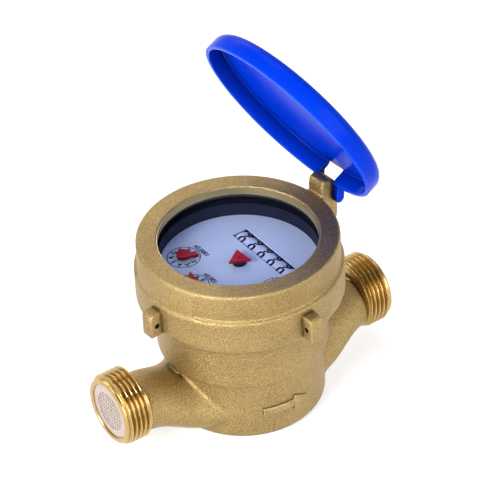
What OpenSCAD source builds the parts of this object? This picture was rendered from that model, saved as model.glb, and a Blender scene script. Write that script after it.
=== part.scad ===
// Multi-jet water meter with a screwed cover ring, a hinged lid and a dry register.
// Frame: millimetres, +Z up, z = 0 is the flat base, +X is the flow direction (outlet and lid hinge).

/* [Build] */
// Which node to build, or "all"

/* [Pipe ends] */
// Length over the two threaded ends
meter_length = 145; // [130:1:190]
// Height of the pipe axis above the base
axis_height = 23.7; // [20:0.1:30]
// Major radius of the pipe thread
thread_r = 16.625; // [13:0.005:21]
// Thread pitch
thread_pitch = 2.309; // [1.8:0.001:2.4]
// Radius of the water way
bore_r = 10; // [8:0.1:12]

/* [Pot] */
// Radius of the lower pot
pot_r = 36; // [33:0.1:40]
// Height of the step line between the lower and the upper pot
step_z = 30.7; // [28:0.1:34]
// Radius of the upper pot
upper_r = 38.4; // [36:0.1:42]

/* [Cover ring] */
// Turn of the screwed ring and its lid about the vertical
cover_turn = 4; // [-20:0.5:20]
// Height of the underside of the ring
ring_z = 57.8; // [56:0.1:60]
// Radius of the lower band
ring_r = 46; // [44:0.1:50]
// Radius of the upper band
band_r = 44.4; // [43:0.1:48]
// Height of the ledge between the bands
ledge_z = 73.1; // [70:0.1:76]
// Height of the top of the ring
top_z = 86.3; // [84:0.1:90]
// Radius of the opening over the glass
window_r = 35.2; // [32:0.1:37]

/* [Lid] */
// Angle that the lid stands open in the rest pose
lid_open = 62.6; // [0:0.1:100]
// Distance of the hinge axis from the meter axis
hinge_x = 51.7; // [48:0.1:54]
// Height of the hinge axis
hinge_z = 84.4; // [82:0.1:90]
// Outer radius of the lid
lid_r = 46.6; // [45:0.1:50]
// Overall depth of the lid
lid_depth = 10.6; // [8:0.1:14]

/* [Register] */
// Height of the dial face
dial_z = 70.3; // [69.8:0.1:71]
// Distance of the pointers from the dial centre
pointer_pitch = 25; // [24.8:0.05:25.1]
// Radius of a number wheel
drum_r = 7; // [6.5:0.1:7.1]
// Distance of the number wheels' axis from the dial centre
drum_x = 13.3; // [13:0.1:14]

/* [Hidden] */
$fn = 72;
eps = 0.01;

half = meter_length / 2;
cavity_r = 31;
shelf_z = 50;
spigot_r = 41.6;
spigot_top = 72;
plate_z = 51.2;
cup_z = 53.2;
floor_z = 54.4;
base_z = 59.4;
dial_under = dial_z - 0.8;
glass_z = 76.6;
lip_z = 82.1;
rim_z = hinge_z + 1.8;
pin_r = 1;
drum_z = dial_under - drum_r + 0.2;
drum_w = 7.1;
drum_pitch = 7.2;
play = 0.05;

// Gear train: each level is a height, and each place is found from the mesh distances
level = [60.2, 61.6, 63, 64.4, 65.8];
step_angle = 48;
first_angle = 132;
function pointer_angle(i) = first_angle + step_angle * (i - 1);
function polar(r, a) = [r * cos(a), r * sin(a)];
function pointer_at(i) = polar(pointer_pitch, pointer_angle(i));
function gap(m, a, b) = m * (a + b) / 2;
// Corner of a triangle over p and q, at distance a from p and b from q, on the given side
function corner(p, q, a, b, side) =
    let (d = norm(q - p), t = (d * d + a * a - b * b) / (2 * d), h = sqrt(a * a - t * t), u = (q - p) / d)
    p + t * u + side * h * [-u[1], u[0]];
function heading(p, q) = atan2(q[1] - p[1], q[0] - p[0]);
// Turn of a wheel of zb teeth that meshes with one of za teeth turned by ta, seen in direction f
function mesh_turn(f, ta, za, zb) = f + 180 - (0.5 - (f - ta) * za / 360) * 360 / zb;

spindle_at = [0, 0];
gear_a_at = polar(gap(0.5, 10, 36), 110);
gear_b_at = corner(gear_a_at, pointer_at(1), gap(0.5, 12, 24), gap(0.5, 9, 30), -1);
function idler_at(i) = corner(pointer_at(i), pointer_at(i + 1), gap(0.7, 8, 24), gap(0.5, 9, 30), 1);

turn_a = mesh_turn(heading(spindle_at, gear_a_at), 0, 10, 36);
turn_b = mesh_turn(heading(gear_a_at, gear_b_at), 0, 12, 24);
turn_w1 = mesh_turn(heading(gear_b_at, pointer_at(1)), 0, 9, 30);
function idler_turn(i) = mesh_turn(heading(pointer_at(i), idler_at(i)), 0, 8, 24);
function wheel_turn(i) = mesh_turn(heading(idler_at(i - 1), pointer_at(i)), 0, 9, 30);

// Tube about Z from z0 to z1
module tube(r_out, r_in, z0, z1) {
    translate([0, 0, z0])
        difference() {
            cylinder(r = r_out, h = z1 - z0);
            translate([0, 0, -1])
                cylinder(r = r_in, h = z1 - z0 + 2);
        }
}

// Rod about Z from z0 to z1
module rod(r, z0, z1) {
    translate([0, 0, z0])
        cylinder(r = r, h = z1 - z0);
}

// Thin-toothed spur gear standing on level z0
module spur(teeth, m, z0, turn) {
    rp = m * teeth / 2;
    pitch = 360 / teeth;
    tip = rp + 0.8 * m;
    root = rp - 1.1 * m;
    pts = [for (i = [0 : teeth - 1]) each [
        polar(root, pitch * (i - 0.25)),
        polar(tip, pitch * (i - 0.09)),
        polar(tip, pitch * (i + 0.09)),
        polar(root, pitch * (i + 0.25))]];
    translate([0, 0, z0])
        rotate([0, 0, turn])
            linear_extrude(height = 0.8)
                polygon(pts);
}

// Arbor with a pivot in the base plate and one in the dial
module arbor(top) {
    rod(0.5, base_z - 0.7, base_z + 0.5);
    rod(0.8, base_z, dial_under - 0.1);
    rod(0.5, dial_under - 0.5, top);
}

// Solid of revolution about the pipe axis, drawn as [distance, radius]
module along_x(pts) {
    translate([0, 0, axis_height])
        rotate([0, 90, 0])
            rotate_extrude()
                polygon([for (p = pts) [p[1], p[0]]]);
}

// One threaded end at +X: a plain cylinder of the thread's major diameter
module thread_end() {
    start = half - 1.4 - 6 * thread_pitch;
    along_x([[start - 2, 0], [start - 2, thread_r - 2.7], [start + 0.9, thread_r],
        [half - 1.4, thread_r], [half, thread_r - 1.4], [half, 0]]);
}

// Flared duct at +X
module duct() {
    translate([half - 14, 0, axis_height])
        rotate([0, 90, 0])
            rotate_extrude()
                polygon([[0, -46], [22, -46], [21.6, -27.5], [18, -25], [15.6, -21.5], [14.1, -17],
                    [13.3, -11], [12.9, -5], [12.8, 0], [12.4, 1.2], [0, 1.2]]);
}

module flow_arrow() {
    intersection() {
        translate([0, 0, axis_height - 9])
            rotate([90, 0, 0])
                linear_extrude(height = 40)
                    polygon([[-9, -1.4], [1, -1.4], [1, -3.6], [9, 0], [1, 3.6], [1, 1.4], [-9, 1.4]]);
        rod(pot_r + 0.8, 0, step_z);
    }
}

module body() {
    color("goldenrod")
    difference() {
        union() {
            rotate_extrude()
                polygon([[0, 0], [pot_r - 6, 0], [pot_r - 3.7, 0.5], [pot_r - 1.8, 1.8], [pot_r - 0.5, 3.7],
                    [pot_r, 6], [pot_r, step_z - 0.6], [pot_r + 0.4, step_z], [upper_r, step_z + 0.6],
                    [upper_r, 50], [upper_r + 0.6, 52], [upper_r + 2.2, 54.2], [upper_r + 4.6, 55.6],
                    [ring_r - 1.2, 56.4], [ring_r - 1.2, ring_z], [spigot_r, ring_z], [spigot_r, spigot_top],
                    [0, spigot_top]]);
            thread_end();
            rotate([0, 0, 180])
                thread_end();
            duct();
            rotate([0, 0, 180])
                duct();
            flow_arrow();
        }
        rod(cavity_r, 6, 21);
        rod(26.1, 20, 26);
        rod(cavity_r, 25, shelf_z + 1);
        rod(34.5, shelf_z, 60);
        rod(38.6, 57, spigot_top + 1);
        translate([41, 0, axis_height])
            rotate([0, 90, 0])
                cylinder(r = bore_r, h = half);
        translate([-41 - half, 0, axis_height])
            rotate([0, 90, 0])
                cylinder(r = bore_r, h = half);
        translate([-44, 0, axis_height])
            rotate([0, 116, 0])
                cylinder(r = 7, h = 20);
        translate([44, 0, axis_height])
            rotate([0, -64, 0])
                cylinder(r = 7, h = 21);
        translate([-half - 1, 0, axis_height])
            rotate([0, 90, 0])
                cylinder(r = 12.7, h = 3.2);
    }
}

module inlet_strainer() {
    color("whitesmoke")
    translate([-half + 0.8, 0, axis_height])
        rotate([0, 90, 0])
            union() {
                tube(12.6, 9.2, 0, 1.4);
                difference() {
                    tube(9.8, 8.9, 0.4, 15);
                    for (i = [0 : 7])
                        rotate([0, 0, i * 45])
                            translate([7, -2.4, 4])
                                cube([6, 4.8, 8.5]);
                }
                rod(9.8, 14, 15.2);
                intersection() {
                    rod(9.5, 0.3, 1.1);
                    union() {
                        for (i = [-4 : 4])
                            translate([i * 2 - 0.3, -12, 0])
                                cube([0.6, 24, 2]);
                        for (i = [-4 : 4])
                            translate([-12, i * 2 - 0.3, 0])
                                cube([24, 0.6, 2]);
                    }
                }
            }
}

module basket_strainer() {
    color("gainsboro")
    difference() {
        tube(28.4, 27.4, 6, 21);
        for (i = [0 : 17])
            rotate([0, 0, i * 20])
                translate([26, -2.8, 9])
                    cube([4, 5.6, 9]);
    }
}

module chamber_cup() {
    color("silver")
    difference() {
        union() {
            rod(26, 8, 40);
            rod(28.2, 25, 26.6);
        }
        rod(23.5, 10, 41);
        rod(1.2, 7, 11);
        for (i = [0 : 11])
            rotate([0, 0, i * 30]) {
                translate([15, 17.2, 13])
                    cube([20, 3.4, 6]);
                translate([15, -20.6, 29.5])
                    cube([20, 3.4, 6]);
            }
    }
}

module pivot_pin() {
    color("lightgray")
        rod(1.2, 8, 14);
}

module impeller() {
    color("white")
    difference() {
        union() {
            rod(3.4, 11, 36.6);
            rod(2, 36, 49.4);
            rod(8, 35, 36);
            for (i = [0 : 7])
                rotate([0, 0, i * 45])
                    translate([2.5, -0.6, 12])
                        cube([17.5, 1.2, 23.6]);
        }
        rod(1.2 + play, 10, 14);
    }
}

module impeller_magnet() {
    color("dimgray")
        tube(9, 2, 44, 48.6);
}

module chamber_cover() {
    color("silver")
    difference() {
        union() {
            rod(26, 40, 42);
            rod(23.4, 38.6, 41);
            tube(19, 17.6, 41.5, shelf_z);
        }
        rod(4, 30, 43);
    }
}

module top_bush() {
    color("firebrick")
        tube(4, 2 + play, 38.6, 42.4);
}

module shield_ring() {
    color("darkgray")
        tube(17.6, 15.8, 42, shelf_z);
}

module plate_gasket() {
    color("black")
        tube(34.3, 32, shelf_z, plate_z);
}

module pressure_plate() {
    color("tan")
    union() {
        rod(34.3, plate_z, cup_z);
        rod(32, shelf_z, plate_z + eps);
    }
}

module register_cup() {
    color("midnightblue")
    difference() {
        rotate_extrude()
            polygon([[0, cup_z], [34.3, cup_z], [34.3, 57.4], [38.4, 57.4], [38.4, spigot_top], [41.2, spigot_top],
                [41.2, glass_z], [35.4, glass_z], [35.4, dial_under], [34.4, dial_under],
                [34.4, base_z - 0.8], [30, base_z - 0.8], [30, floor_z], [0, floor_z]]);
        rod(0.8 + play, floor_z - 0.6, 60);
    }
}

module arbor_holes(z0, r, extra = []) {
    for (p = concat(extra, [gear_a_at], [for (i = [1 : 3]) idler_at(i)], [for (i = [1 : 4]) pointer_at(i)]))
        translate([p[0], p[1], z0])
            cylinder(r = r, h = 3);
}

module base_plate() {
    color("goldenrod")
    difference() {
        rod(34.3, base_z - 0.8, base_z);
        rod(0.8 + play, 50, 70);
        arbor_holes(base_z - 2, 0.5 + play, [gear_b_at]);
        translate([drum_x - 7.5, -18.4, 50])
            cube([15, 36.8, 20]);
    }
}

module pillars() {
    color("silver")
        for (p = [[27, 14], [27, -14], polar(31.8, 156), polar(31.8, 204)])
            translate([p[0], p[1], base_z])
                cylinder(r = 1.5, h = dial_under - base_z);
}

module drive_spindle() {
    color("silver")
    union() {
        rod(0.8, floor_z - 0.6, dial_under - 0.1);
        rod(0.5, dial_under - 0.5, 73.6);
        spur(10, 0.5, level[4], 0);
    }
}

module driven_magnet() {
    color("dimgray")
        tube(6, 0.8, floor_z + 0.4, base_z - 1.4);
}

module leak_indicator() {
    color("red")
    translate([0, 0, 72.6])
        difference() {
            linear_extrude(height = 1)
                polygon([for (i = [0 : 2]) polar(5.7, 64 + i * 120)]);
            translate([0, 0, -1])
                cylinder(r = 0.5, h = 4);
        }
}

module gear_a() {
    color("ivory")
    translate([gear_a_at[0], gear_a_at[1], 0]) {
        arbor(dial_z - 0.1);
        spur(36, 0.5, level[4], turn_a);
        spur(12, 0.5, level[1], 0);
    }
}

// Short arbor that ends under the large wheel of gear a
module stub_arbor() {
    rod(0.5, base_z - 0.7, base_z + 0.5);
    rod(0.8, base_z, level[4] - 0.5);
}

module gear_b() {
    color("ivory")
    translate([gear_b_at[0], gear_b_at[1], 0]) {
        stub_arbor();
        spur(24, 0.5, level[1], turn_b);
        spur(9, 0.5, level[0], 0);
    }
}

// Idler between pointer i and pointer i + 1
module idler(i, high) {
    translate([idler_at(i)[0], idler_at(i)[1], 0]) {
        arbor(dial_z - 0.1);
        spur(24, 0.7, level[high], idler_turn(i));
        spur(9, 0.5, level[0], 0);
    }
}

module gear_1() {
    color("ivory")
        idler(1, 2);
}

module gear_2() {
    color("ivory")
        idler(2, 3);
}

module gear_3() {
    color("ivory")
        idler(3, 2);
}

// Pointer arbor i with its slow wheel, and with the fast pinion where another stage follows
module pointer_arbor(i, turn, high) {
    translate([pointer_at(i)[0], pointer_at(i)[1], 0]) {
        arbor(dial_z + 2);
        spur(30, 0.5, level[0], turn);
        if (high > 0)
            spur(8, 0.7, level[high], 0);
    }
}

module arbor_1() {
    color("ivory")
        pointer_arbor(1, turn_w1, 2);
}

module arbor_2() {
    color("ivory")
        pointer_arbor(2, wheel_turn(2), 3);
}

module arbor_3() {
    color("ivory")
        pointer_arbor(3, wheel_turn(3), 2);
}

module arbor_4() {
    color("ivory")
        pointer_arbor(4, wheel_turn(4), 0);
}

// Teardrop hand i, turned by a from the dial's top
module hand(i, a) {
    translate([pointer_at(i)[0], pointer_at(i)[1], dial_z + 0.9])
        rotate([0, 0, a])
            difference() {
                union() {
                    cylinder(r = 3.2, h = 1.2);
                    linear_extrude(height = 1.2)
                        polygon([[0.6, 3], [3.4, 1.5], [6.8, 0.2], [6.8, -0.2], [3.4, -1.5], [0.6, -3]]);
                }
                translate([0, 0, -1])
                    cylinder(r = 0.5, h = 4);
            }
}

module pointer_1() {
    color("red")
        hand(1, -40);
}

module pointer_2() {
    color("red")
        hand(2, 62);
}

module pointer_3() {
    color("red")
        hand(3, 75);
}

module pointer_4() {
    color("red")
        hand(4, 20);
}

module counter_frame() {
    color("silver")
    difference() {
        union() {
            for (s = [-1, 1])
                translate([drum_x - 3, s * 19.1 - 0.6, base_z])
                    cube([12.2, 1.2, 7]);
            translate([drum_x + 7.6, -19.7, base_z])
                cube([1.6, 39.4, 2]);
        }
        translate([drum_x, 30, drum_z])
            rotate([90, 0, 0])
                cylinder(r = 0.8, h = 60);
    }
}

module counter_shaft() {
    color("lightgray")
    translate([drum_x, 19.7, drum_z])
        rotate([90, 0, 0])
            cylinder(r = 0.8, h = 39.4);
}

// Number wheel i, counted from the units wheel
module number_wheel(i) {
    translate([drum_x, (i - 3) * drum_pitch + drum_w / 2, drum_z])
        rotate([90, 0, 0])
            difference() {
                cylinder(r = drum_r, h = drum_w);
                translate([0, 0, 1.2])
                    tube(drum_r - 1, 2, 0, drum_w);
                translate([0, 0, -1])
                    cylinder(r = 0.8 + play, h = drum_w + 2);
            }
}

module number_wheel_1() {
    color("white")
        number_wheel(1);
}

module number_wheel_2() {
    color("white")
        number_wheel(2);
}

module number_wheel_3() {
    color("white")
        number_wheel(3);
}

module number_wheel_4() {
    color("white")
        number_wheel(4);
}

module number_wheel_5() {
    color("white")
        number_wheel(5);
}

module dial_plate() {
    color("lavender")
    difference() {
        rod(35.3, dial_under, dial_z);
        rod(0.5 + play, 60, 80);
        arbor_holes(dial_under - 1, 0.5 + play);
        translate([drum_x - 4, -18.6, 60])
            cube([8, 37.2, 20]);
    }
}

module glass() {
    color("lightcyan", 0.3)
        rod(41.2, glass_z, glass_z + 4);
}

module glass_gasket() {
    color("black")
        tube(41.2, 35.6, glass_z + 4, lip_z);
}

// Seal ear at angle a on the ring
module seal_ear(a) {
    rotate([0, 0, a])
        difference() {
            translate([ring_r - 4, -3.2, ring_z])
                cube([9.7, 6.4, 12]);
            translate([ring_r + 2.4, 10, ring_z + 5.6])
                rotate([90, 0, 0])
                    cylinder(r = 1, h = 20);
        }
}

module hinge_lug() {
    difference() {
        translate([0, 4.6, 0])
            rotate([90, 0, 0])
                linear_extrude(height = 9.2)
                    polygon([[42.6, ledge_z - 8], [ring_r, ledge_z - 8], [hinge_x + 1.4, ledge_z - 1],
                        [hinge_x + 2, hinge_z], [hinge_x + 1.6, top_z + 2.6], [hinge_x - 0.2, top_z + 5.2],
                        [hinge_x - 2.6, top_z + 6.2], [band_r + 2, top_z + 6.2], [band_r + 0.5, top_z + 5.6],
                        [band_r - 0.2, top_z + 4.2], [band_r - 0.2, top_z - 0.6], [42.6, top_z - 0.6]]);
        translate([hinge_x, 10, hinge_z])
            rotate([90, 0, 0])
                cylinder(r = pin_r, h = 20);
    }
}

module cover_ring() {
    color("goldenrod")
    rotate([0, 0, cover_turn])
        difference() {
            union() {
                rotate_extrude()
                    polygon([[35, ring_z], [ring_r - 0.6, ring_z], [ring_r, ring_z + 0.6], [ring_r, ledge_z - 0.7],
                        [ring_r - 0.6, ledge_z], [band_r, ledge_z], [band_r, top_z - 0.8], [band_r - 0.8, top_z],
                        [35, top_z]]);
                for (a = [90, 180, 270])
                    seal_ear(a);
                intersection() {
                    translate([0, 0, ledge_z - 0.8])
                        cylinder(r1 = ring_r, r2 = band_r, h = top_z - 0.8 - ledge_z);
                    translate([-60, -19, 0])
                        cube([40, 38, 100]);
                }
                hinge_lug();
            }
            rod(spigot_r + play, 0, lip_z);
            rod(window_r, 50, 100);
        }
}

module hinge_pin() {
    color("lightgray")
    rotate([0, 0, cover_turn])
        translate([hinge_x, 8.2, hinge_z])
            rotate([90, 0, 0])
                cylinder(r = pin_r, h = 16.4);
}

// The lid as closed, with its rim at rim_z
module lid_closed() {
    difference() {
        union() {
            translate([0, 0, rim_z])
                rotate_extrude()
                    polygon([[0, 0], [lid_r - 0.3, 0], [lid_r, 0.3], [lid_r, lid_depth - 5], [lid_r - 0.6, lid_depth - 3],
                        [lid_r - 2, lid_depth - 1.6], [lid_r - 4.5, lid_depth - 0.8], [lid_r - 16.6, lid_depth - 0.3],
                        [lid_r - 31.6, lid_depth - 0.05], [0, lid_depth]]);
            for (s = [-1, 1])
                translate([0, s * 6.5 + 1.5, 0])
                    rotate([90, 0, 0])
                        linear_extrude(height = 3)
                            union() {
                                translate([hinge_x, hinge_z])
                                    circle(r = 2.3);
                                polygon([[lid_r - 1.2, rim_z], [hinge_x - 1, hinge_z - 2], [hinge_x + 1.6, hinge_z + 1.6],
                                    [lid_r - 1.2, rim_z + 5]]);
                            }
        }
        translate([0, 0, rim_z - 1])
            rotate_extrude()
                polygon([[0, 0], [lid_r - 2, 0], [lid_r - 2, lid_depth - 2.6], [lid_r - 3.4, lid_depth - 1.2],
                    [lid_r - 16.6, lid_depth - 0.9], [0, lid_depth - 0.6]]);
        translate([lid_r - 3.6, -5, rim_z - 6])
            cube([20, 10, lid_depth + 12]);
        translate([hinge_x, 10, hinge_z])
            rotate([90, 0, 0])
                cylinder(r = pin_r + play, h = 20);
    }
}

module lid() {
    color("blue")
    rotate([0, 0, cover_turn])
        translate([hinge_x, 0, hinge_z])
            rotate([0, lid_open, 0])
                translate([-hinge_x, 0, -hinge_z])
                    lid_closed();
}

body();
inlet_strainer();
basket_strainer();
chamber_cup();
pivot_pin();
impeller();
impeller_magnet();
chamber_cover();
top_bush();
shield_ring();
plate_gasket();
pressure_plate();
register_cup();
base_plate();
pillars();
drive_spindle();
driven_magnet();
leak_indicator();
gear_a();
gear_b();
gear_1();
gear_2();
gear_3();
arbor_1();
arbor_2();
arbor_3();
arbor_4();
pointer_1();
pointer_2();
pointer_3();
pointer_4();
counter_frame();
counter_shaft();
number_wheel_1();
number_wheel_2();
number_wheel_3();
number_wheel_4();
number_wheel_5();
dial_plate();
glass();
glass_gasket();
cover_ring();
hinge_pin();
lid();
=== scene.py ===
"""Looks of the water meter: cast brass, blue lid, glazed register and threaded ends.

Sizes are in millimetres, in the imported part's frame: the flat base is at z = 0 and water flows to +X.
"""

import logging
import math
from dataclasses import dataclass, field
from enum import Enum
from typing import Callable, Iterable, Sequence

import bmesh
import bpy
from mathutils import Matrix, Vector

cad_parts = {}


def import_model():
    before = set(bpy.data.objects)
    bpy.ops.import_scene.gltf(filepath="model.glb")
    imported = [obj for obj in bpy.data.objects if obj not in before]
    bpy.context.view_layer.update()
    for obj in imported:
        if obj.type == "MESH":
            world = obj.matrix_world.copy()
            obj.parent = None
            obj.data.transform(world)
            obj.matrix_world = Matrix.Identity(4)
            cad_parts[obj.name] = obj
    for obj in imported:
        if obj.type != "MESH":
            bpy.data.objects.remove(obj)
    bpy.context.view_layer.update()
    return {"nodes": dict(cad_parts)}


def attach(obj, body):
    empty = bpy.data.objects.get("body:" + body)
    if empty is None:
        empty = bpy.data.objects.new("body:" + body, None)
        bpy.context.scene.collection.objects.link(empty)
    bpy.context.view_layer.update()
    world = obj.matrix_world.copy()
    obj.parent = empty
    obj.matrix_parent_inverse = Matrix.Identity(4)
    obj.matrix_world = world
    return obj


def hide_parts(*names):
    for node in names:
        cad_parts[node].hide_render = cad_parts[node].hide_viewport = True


LOG = logging.getLogger("water_meter")
MM = 0.001
AXIS_HEIGHT = 23.7
HALF_LENGTH = 72.5
COVER_TURN = math.radians(4.0)
DIAL_Z = 70.3
POINTER_PITCH = 25.0
FIRST_POINTER = 132.0
POINTER_STEP = 48.0
HINGE_X = 51.7
HINGE_Z = 84.4
RIM_RISE = 1.8
RIM_Z = HINGE_Z + RIM_RISE
LID_OPEN = math.radians(62.6)
DOUBLES_M = 1e-7
SMOOTH_FACTOR = 0.5
TYPE_RESOLUTION = 3
SMALL_SEGMENTS = 32
CAST_ANGLE = 60.0
TURNED_ANGLE = 40.0
DIGITS = 10
DIGIT_STEP = 36.0

# Ranges of noise and of open sky that the shader groups stretch to whole masks.
SPECKLE_RANGE = (0.42, 0.68)
PATCH_RANGE = (0.35, 0.65)
OPEN_RANGE = (0.62, 0.92)
# The last range turns open sky into painted shade in hollows.
PAINTED_SHADE_RANGE = (0.4, 0.88)

Point2 = tuple[float, float]
Point3 = tuple[float, float, float]
Faces = list[tuple[int, ...]]
MeshData = tuple[list[Point3], Faces]
Place = Callable[[float, float, float], Point3]


class Slot(Enum):
    """Material slots of the record, one named for each new piece."""

    CAST_BRASS = "cast_brass"
    BLUE_PLASTIC = "blue_plastic"
    WHITE_PLASTIC = "white_plastic"
    DIAL = "dial"
    RED_PLASTIC = "red_plastic"
    NAVY_PLASTIC = "navy_plastic"


def linked(name: str, data: bpy.types.ID) -> bpy.types.Object:
    """Makes an object round its data and links it to the scene.

    Args:
        name: The object's name.
        data: Mesh, curve, camera or light.

    Returns:
        The linked object.
    """
    obj = bpy.data.objects.new(name, data)
    bpy.context.scene.collection.objects.link(obj)
    return obj


def new_object(name: str, verts: Iterable[Point3], faces: Faces) -> bpy.types.Object:
    """Makes a linked mesh object from points in millimetres.

    Args:
        name: The piece's name.
        verts: Points in millimetres.
        faces: Faces as rows of point numbers.

    Returns:
        The new object, in metres, with its normals turned outwards.
    """
    mesh = bpy.data.meshes.new(name)
    mesh.from_pydata([(x * MM, y * MM, z * MM) for x, y, z in verts], [], faces)
    obj = linked(name, mesh)
    turn_outwards(obj)
    return obj


def turn_outwards(obj: bpy.types.Object) -> None:
    """Merges doubles and turns the faces outwards.

    Args:
        obj: The mesh object to change.
    """
    bm = bmesh.new()
    bm.from_mesh(obj.data)
    bmesh.ops.remove_doubles(bm, verts=bm.verts, dist=DOUBLES_M)
    bmesh.ops.recalc_face_normals(bm, faces=bm.faces)
    bm.to_mesh(obj.data)
    bm.free()


def smooth_by_angle(obj: bpy.types.Object, degrees: float) -> None:
    """Shades a mesh smooth, with edges sharper than an angle kept sharp.

    Args:
        obj: The mesh object to change.
        degrees: The angle between two faces from which their edge is sharp.
    """
    limit = math.radians(degrees)
    bm = bmesh.new()
    bm.from_mesh(obj.data)
    for face in bm.faces:
        face.smooth = True
    for edge in bm.edges:
        edge.smooth = edge.calc_face_angle(0.0) < limit
    bm.to_mesh(obj.data)
    bm.free()


def evaluated_mesh(obj: bpy.types.Object) -> bpy.types.Mesh:
    """Gives an object's evaluated shape as a new plain mesh.

    Args:
        obj: The object, with its modifiers live.

    Returns:
        The mesh.
    """
    graph = bpy.context.evaluated_depsgraph_get()
    return bpy.data.meshes.new_from_object(obj.evaluated_get(graph), depsgraph=graph)


def bake_modifiers(obj: bpy.types.Object) -> None:
    """Turns an object's evaluated shape into its mesh and drops its modifiers.

    Args:
        obj: The object to change.
    """
    mesh = evaluated_mesh(obj)
    obj.modifiers.clear()
    obj.data = mesh


def round_edges(obj: bpy.types.Object, width: float, segments: int) -> None:
    """Rounds all edges of a piece.

    Args:
        obj: The mesh object to change.
        width: Width of the rounding in millimetres.
        segments: Steps across it.
    """
    bevel = obj.modifiers.new("round", "BEVEL")
    bevel.width = width * MM
    bevel.segments = segments
    bake_modifiers(obj)


def cut_out(obj: bpy.types.Object, cutter: bpy.types.Object) -> None:
    """Cuts one closed shape out of another.

    Args:
        obj: The mesh object to change.
        cutter: The shape to take away; it is removed.
    """
    cut = obj.modifiers.new("cut", "BOOLEAN")
    cut.object = cutter
    cut.solver = "EXACT"
    bake_modifiers(obj)
    bpy.data.objects.remove(cutter)


def weld_casting(obj: bpy.types.Object, voxel: float, rounds: int) -> None:
    """Makes one skin of shapes that cross, with soft inner and outer corners.

    Args:
        obj: The mesh object to change.
        voxel: Grain of the new skin in millimetres.
        rounds: How often the skin is smoothed.
    """
    weld = obj.modifiers.new("weld", "REMESH")
    weld.mode = "VOXEL"
    weld.voxel_size = voxel * MM
    soft = obj.modifiers.new("soften", "SMOOTH")
    soft.factor = SMOOTH_FACTOR
    soft.iterations = rounds
    bake_modifiers(obj)
    smooth_by_angle(obj, CAST_ANGLE)


def join_meshes(name: str, parts: Iterable[bpy.types.Object]) -> bpy.types.Object:
    """Joins objects into one mesh object.

    Args:
        name: The joined piece's name.
        parts: Objects to join; they are removed.

    Returns:
        The joined object, without a material.
    """
    bm = bmesh.new()
    for part in parts:
        bm.from_mesh(part.data)
        bpy.data.objects.remove(part)
    mesh = bpy.data.meshes.new(name)
    bm.to_mesh(mesh)
    bm.free()
    return linked(name, mesh)


def grid_faces(rows: int, columns: int) -> Faces:
    """Quads of a grid of points that closes on itself both ways.

    Args:
        rows: Rows of points.
        columns: Points in each row.

    Returns:
        Faces, for points listed row by row.
    """
    faces: Faces = []
    for i in range(rows):
        here, after = i * columns, (i + 1) % rows * columns
        for j in range(columns):
            k = (j + 1) % columns
            faces.append((here + j, after + j, after + k, here + k))
    return faces


def lathe(profile: Sequence[Point2], segments: int) -> MeshData:
    """Turns a closed profile of (radius, height) about Z.

    Args:
        profile: Points of the closed outline, radius first.
        segments: Steps round the axis.

    Returns:
        Points and faces, with none along the axis.
    """
    verts: list[Point3] = []
    count = len(profile)
    for i in range(segments):
        a = math.tau * i / segments
        verts += [(r * math.cos(a), r * math.sin(a), z) for r, z in profile]
    faces = grid_faces(segments, count)
    return verts, [f for f in faces if profile[f[0] % count][0] or profile[f[3] % count][0]]


def tube(inner: float, outer: float, low: float, high: float) -> list[Point2]:
    """Profile of a plain tube, from its two radii and two levels."""
    return [(inner, low), (outer, low), (outer, high), (inner, high)]


def slab(outline: Sequence[Point2], low: float, high: float, place: Place) -> MeshData:
    """Extrudes an outline between two levels.

    Args:
        outline: Closed outline.
        low: First level.
        high: Second level.
        place: Gives the point in space for outline x, outline y and level.

    Returns:
        Points and faces.
    """
    n = len(outline)
    verts = [place(x, y, level) for level in (low, high) for x, y in outline]
    faces: Faces = [tuple(range(n - 1, -1, -1)), tuple(range(n, 2 * n))]
    faces += [(i, (i + 1) % n, n + (i + 1) % n, n + i) for i in range(n)]
    return verts, faces


def upright(x: float, y: float, level: float) -> Point3:
    """Stands an outline up in the plane of X and Z."""
    return x, level, y


def flat(x: float, y: float, level: float) -> Point3:
    """Lays an outline in the plane of X and Y."""
    return x, y, level


def arc(cx: float, cz: float, r: float, start: float, end: float, steps: int) -> list[Point2]:
    """Points of a circular arc.

    Args:
        cx: First coordinate of the centre.
        cz: Second coordinate of the centre.
        r: Radius.
        start: First angle in degrees.
        end: Last angle in degrees.
        steps: Steps from the first point to the last.

    Returns:
        The points, both ends among them.
    """
    angles = [math.radians(start + (end - start) * i / steps) for i in range(steps + 1)]
    return [(cx + r * math.cos(a), cz + r * math.sin(a)) for a in angles]


def moved(verts: Iterable[Point3], x: float, y: float, z: float) -> list[Point3]:
    """Points moved by a distance along each axis."""
    return [(x + a, y + b, z + c) for a, b, c in verts]


def along_pipe(verts: Iterable[Point3], side: int) -> list[Point3]:
    """Lays points that were turned about Z along the pipe axis, to the outlet (1) or the inlet (-1)."""
    return [(side * z, side * y, AXIS_HEIGHT + x) for x, y, z in verts]


def turn_cover(verts: Iterable[Point3]) -> list[Point3]:
    """Turns points about the vertical with the screwed ring."""
    c, s = math.cos(COVER_TURN), math.sin(COVER_TURN)
    return [(x * c - y * s, x * s + y * c, z) for x, y, z in verts]


def open_lid(verts: Iterable[Point3]) -> list[Point3]:
    """Swings points of the shut lid to the rest pose.

    Args:
        verts: Points of the shut lid, over a ring that isn't turned.

    Returns:
        Points of the open lid, turned with the ring.
    """
    c, s = math.cos(LID_OPEN), math.sin(LID_OPEN)
    out: list[Point3] = []
    for x, y, z in verts:
        dx, dz = x - HINGE_X, z - HINGE_Z
        out.append((HINGE_X + dx * c + dz * s, y, HINGE_Z - dx * s + dz * c))
    return turn_cover(out)


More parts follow.
